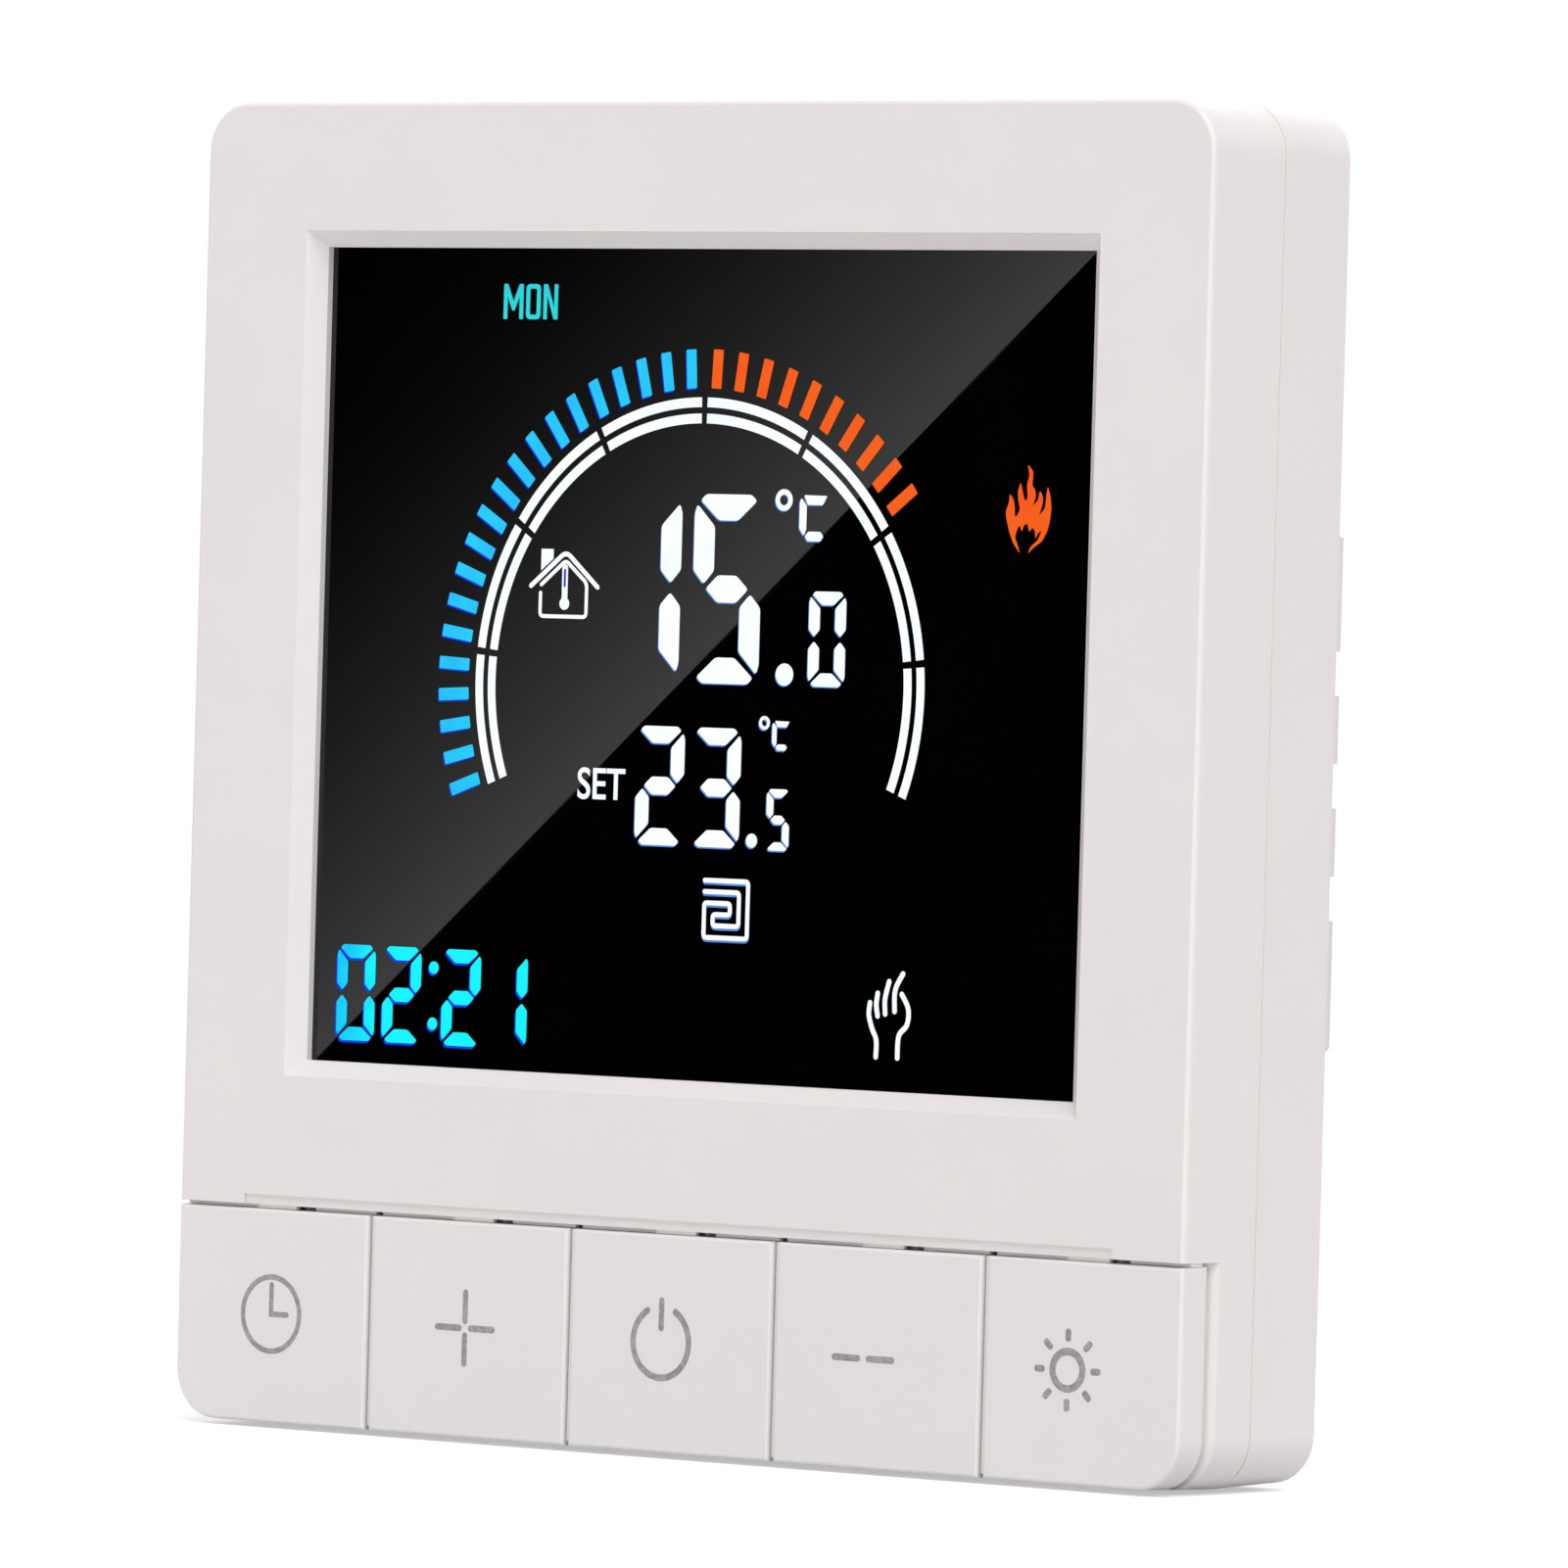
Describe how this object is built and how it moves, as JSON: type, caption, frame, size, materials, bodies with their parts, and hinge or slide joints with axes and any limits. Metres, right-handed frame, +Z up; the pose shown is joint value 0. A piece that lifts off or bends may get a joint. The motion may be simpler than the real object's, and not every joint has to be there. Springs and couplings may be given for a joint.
{
  "type": "wall thermostat",
  "caption": "White wall thermostat with a dark lit display, a row of hinged keys along its lower edge and a rear box with wire terminals that sits in a wall box",
  "frame": {"origin": "centre of the face that lies on the wall", "axes": "+X to the right seen from the front, +Z up, the front faces -Y, the rear box points along +Y into the wall"},
  "size_m": [0.0864, 0.0404, 0.0904],
  "materials": {
    "case_plastic": "fine moulded off-white plastic",
    "key_plastic": "fine moulded off-white plastic with grey printed signs",
    "lens": "polished black window with lit signs behind it",
    "display_glass": "dark display glass",
    "frame_plastic": "plain white plastic",
    "contact_rubber": "striped contact rubber",
    "light_guide": "clear light guide",
    "lamp_plastic": "small white lamps",
    "circuit_board": "green board lacquer",
    "screw_steel": "zinc-plated steel",
    "chip_plastic": "black moulded plastic",
    "sensor_resin": "dark resin bead",
    "plunger_plastic": "black plunger",
    "relay_plastic": "dark relay case",
    "coil_tape": "yellow tape over the winding",
    "capacitor_sleeve": "shrunk sleeve",
    "film_resin": "yellow resin box",
    "varistor_resin": "blue dipped resin",
    "pin_brass": "gilt pins",
    "terminal_plastic": "green terminal plastic",
    "clamp_brass": "brass clamp"
  },
  "bodies": {
    "wall_part": {"wall_plate": "case_plastic", "rear_box": "case_plastic", "safety_cover": "frame_plastic", "safety_cover_screws": "screw_steel", "power_board": "circuit_board", "power_board_screws": "screw_steel", "relay": "relay_plastic", "transformer": "coil_tape", "smoothing_capacitor": "capacitor_sleeve", "safety_capacitor": "film_resin", "surge_varistor": "varistor_resin", "link_header": "chip_plastic", "link_pins": "pin_brass", "terminal_block_left": "terminal_plastic", "terminal_block_right": "terminal_plastic"},
    "front_part": {"front_cover": "case_plastic", "display_lens": "lens", "lcd_panel": "display_glass", "lcd_frame": "frame_plastic", "contact_strip": "contact_rubber", "light_guide": "light_guide", "backlight_lamps": "lamp_plastic", "control_board": "circuit_board", "control_board_screws": "screw_steel", "microcontroller": "chip_plastic", "clock_crystal": "screw_steel", "clock_battery": "screw_steel", "temperature_sensor": "sensor_resin", "key_hinge_rod": "screw_steel", "link_socket": "chip_plastic", "switch_time": "chip_plastic", "switch_plus": "chip_plastic", "switch_power": "chip_plastic", "switch_minus": "chip_plastic", "switch_light": "chip_plastic"},
    "key_time_body": {"key_time": "key_plastic"},
    "plunger_time_body": {"plunger_time": "plunger_plastic"},
    "key_plus_body": {"key_plus": "key_plastic"},
    "plunger_plus_body": {"plunger_plus": "plunger_plastic"},
    "key_power_body": {"key_power": "key_plastic"},
    "plunger_power_body": {"plunger_power": "plunger_plastic"},
    "key_minus_body": {"key_minus": "key_plastic"},
    "plunger_minus_body": {"plunger_minus": "plunger_plastic"},
    "key_light_body": {"key_light": "key_plastic"},
    "plunger_light_body": {"plunger_light": "plunger_plastic"},
    "terminal_screw_left_1_body": {"terminal_screw_left_1": "screw_steel"},
    "wire_clamp_left_1_body": {"wire_clamp_left_1": "clamp_brass"},
    "terminal_screw_left_2_body": {"terminal_screw_left_2": "screw_steel"},
    "wire_clamp_left_2_body": {"wire_clamp_left_2": "clamp_brass"},
    "terminal_screw_left_3_body": {"terminal_screw_left_3": "screw_steel"},
    "wire_clamp_left_3_body": {"wire_clamp_left_3": "clamp_brass"},
    "terminal_screw_right_1_body": {"terminal_screw_right_1": "screw_steel"},
    "wire_clamp_right_1_body": {"wire_clamp_right_1": "clamp_brass"},
    "terminal_screw_right_2_body": {"terminal_screw_right_2": "screw_steel"},
    "wire_clamp_right_2_body": {"wire_clamp_right_2": "clamp_brass"},
    "terminal_screw_right_3_body": {"terminal_screw_right_3": "screw_steel"},
    "wire_clamp_right_3_body": {"wire_clamp_right_3": "clamp_brass"}
  },
  "joints": [
    {"name": "front_pull_off", "type": "slide", "parent": "wall_part", "child": "front_part", "axis": [0, -1, 0], "range_m": [0, 0.03]},
    {"name": "key_time_press", "type": "hinge", "parent": "front_part", "child": "key_time_body", "pos_m": [-0.03453, -0.0112, -0.0274], "axis": [1, 0, 0], "range_deg": [0, 1.4], "stiffness_Nm_per_rad": 0.5},
    {"name": "plunger_time_press", "type": "slide", "parent": "front_part", "child": "plunger_time_body", "axis": [0, 1, 0], "range_m": [0, 0.000259]},
    {"name": "key_plus_press", "type": "hinge", "parent": "front_part", "child": "key_plus_body", "pos_m": [-0.01707, -0.0112, -0.0274], "axis": [1, 0, 0], "range_deg": [0, 1.4], "stiffness_Nm_per_rad": 0.5},
    {"name": "plunger_plus_press", "type": "slide", "parent": "front_part", "child": "plunger_plus_body", "axis": [0, 1, 0], "range_m": [0, 0.000259]},
    {"name": "key_power_press", "type": "hinge", "parent": "front_part", "child": "key_power_body", "pos_m": [0.00048, -0.0112, -0.0274], "axis": [1, 0, 0], "range_deg": [0, 1.4], "stiffness_Nm_per_rad": 0.5},
    {"name": "plunger_power_press", "type": "slide", "parent": "front_part", "child": "plunger_power_body", "axis": [0, 1, 0], "range_m": [0, 0.000259]},
    {"name": "key_minus_press", "type": "hinge", "parent": "front_part", "child": "key_minus_body", "pos_m": [0.01803, -0.0112, -0.0274], "axis": [1, 0, 0], "range_deg": [0, 1.4], "stiffness_Nm_per_rad": 0.5},
    {"name": "plunger_minus_press", "type": "slide", "parent": "front_part", "child": "plunger_minus_body", "axis": [0, 1, 0], "range_m": [0, 0.000259]},
    {"name": "key_light_press", "type": "hinge", "parent": "front_part", "child": "key_light_body", "pos_m": [0.03501, -0.0112, -0.0274], "axis": [1, 0, 0], "range_deg": [0, 1.4], "stiffness_Nm_per_rad": 0.5},
    {"name": "plunger_light_press", "type": "slide", "parent": "front_part", "child": "plunger_light_body", "axis": [0, 1, 0], "range_m": [0, 0.000259]},
    {"name": "terminal_screw_left_1_turn", "type": "hinge", "parent": "wall_part", "child": "terminal_screw_left_1_body", "pos_m": [-0.0174, 0.0204, -0.00717], "axis": [0, -1, 0], "range_deg": [0, 1080]},
    {"name": "wire_clamp_left_1_rise", "type": "slide", "parent": "wall_part", "child": "wire_clamp_left_1_body", "axis": [0, 1, 0], "range_m": [0, 0.0015]},
    {"name": "terminal_screw_left_2_turn", "type": "hinge", "parent": "wall_part", "child": "terminal_screw_left_2_body", "pos_m": [-0.0174, 0.0204, 0.00045], "axis": [0, -1, 0], "range_deg": [0, 1080]},
    {"name": "wire_clamp_left_2_rise", "type": "slide", "parent": "wall_part", "child": "wire_clamp_left_2_body", "axis": [0, 1, 0], "range_m": [0, 0.0015]},
    {"name": "terminal_screw_left_3_turn", "type": "hinge", "parent": "wall_part", "child": "terminal_screw_left_3_body", "pos_m": [-0.0174, 0.0204, 0.00807], "axis": [0, -1, 0], "range_deg": [0, 1080]},
    {"name": "wire_clamp_left_3_rise", "type": "slide", "parent": "wall_part", "child": "wire_clamp_left_3_body", "axis": [0, 1, 0], "range_m": [0, 0.0015]},
    {"name": "terminal_screw_right_1_turn", "type": "hinge", "parent": "wall_part", "child": "terminal_screw_right_1_body", "pos_m": [0.0174, 0.0204, -0.00717], "axis": [0, -1, 0], "range_deg": [0, 1080]},
    {"name": "wire_clamp_right_1_rise", "type": "slide", "parent": "wall_part", "child": "wire_clamp_right_1_body", "axis": [0, 1, 0], "range_m": [0, 0.0015]},
    {"name": "terminal_screw_right_2_turn", "type": "hinge", "parent": "wall_part", "child": "terminal_screw_right_2_body", "pos_m": [0.0174, 0.0204, 0.00045], "axis": [0, -1, 0], "range_deg": [0, 1080]},
    {"name": "wire_clamp_right_2_rise", "type": "slide", "parent": "wall_part", "child": "wire_clamp_right_2_body", "axis": [0, 1, 0], "range_m": [0, 0.0015]},
    {"name": "terminal_screw_right_3_turn", "type": "hinge", "parent": "wall_part", "child": "terminal_screw_right_3_body", "pos_m": [0.0174, 0.0204, 0.00807], "axis": [0, -1, 0], "range_deg": [0, 1080]},
    {"name": "wire_clamp_right_3_rise", "type": "slide", "parent": "wall_part", "child": "wire_clamp_right_3_body", "axis": [0, 1, 0], "range_m": [0, 0.0015]}
  ],
  "couplings": [
    {"joint": "key_time_press", "follows": "plunger_time_press", "rad_per_m": 94.34},
    {"joint": "key_plus_press", "follows": "plunger_plus_press", "rad_per_m": 94.34},
    {"joint": "key_power_press", "follows": "plunger_power_press", "rad_per_m": 94.34},
    {"joint": "key_minus_press", "follows": "plunger_minus_press", "rad_per_m": 94.34},
    {"joint": "key_light_press", "follows": "plunger_light_press", "rad_per_m": 94.34},
    {"joint": "terminal_screw_left_1_turn", "follows": "wire_clamp_left_1_rise", "rad_per_m": 12566},
    {"joint": "terminal_screw_left_2_turn", "follows": "wire_clamp_left_2_rise", "rad_per_m": 12566},
    {"joint": "terminal_screw_left_3_turn", "follows": "wire_clamp_left_3_rise", "rad_per_m": 12566},
    {"joint": "terminal_screw_right_1_turn", "follows": "wire_clamp_right_1_rise", "rad_per_m": 12566},
    {"joint": "terminal_screw_right_2_turn", "follows": "wire_clamp_right_2_rise", "rad_per_m": 12566},
    {"joint": "terminal_screw_right_3_turn", "follows": "wire_clamp_right_3_rise", "rad_per_m": 12566}
  ]
}
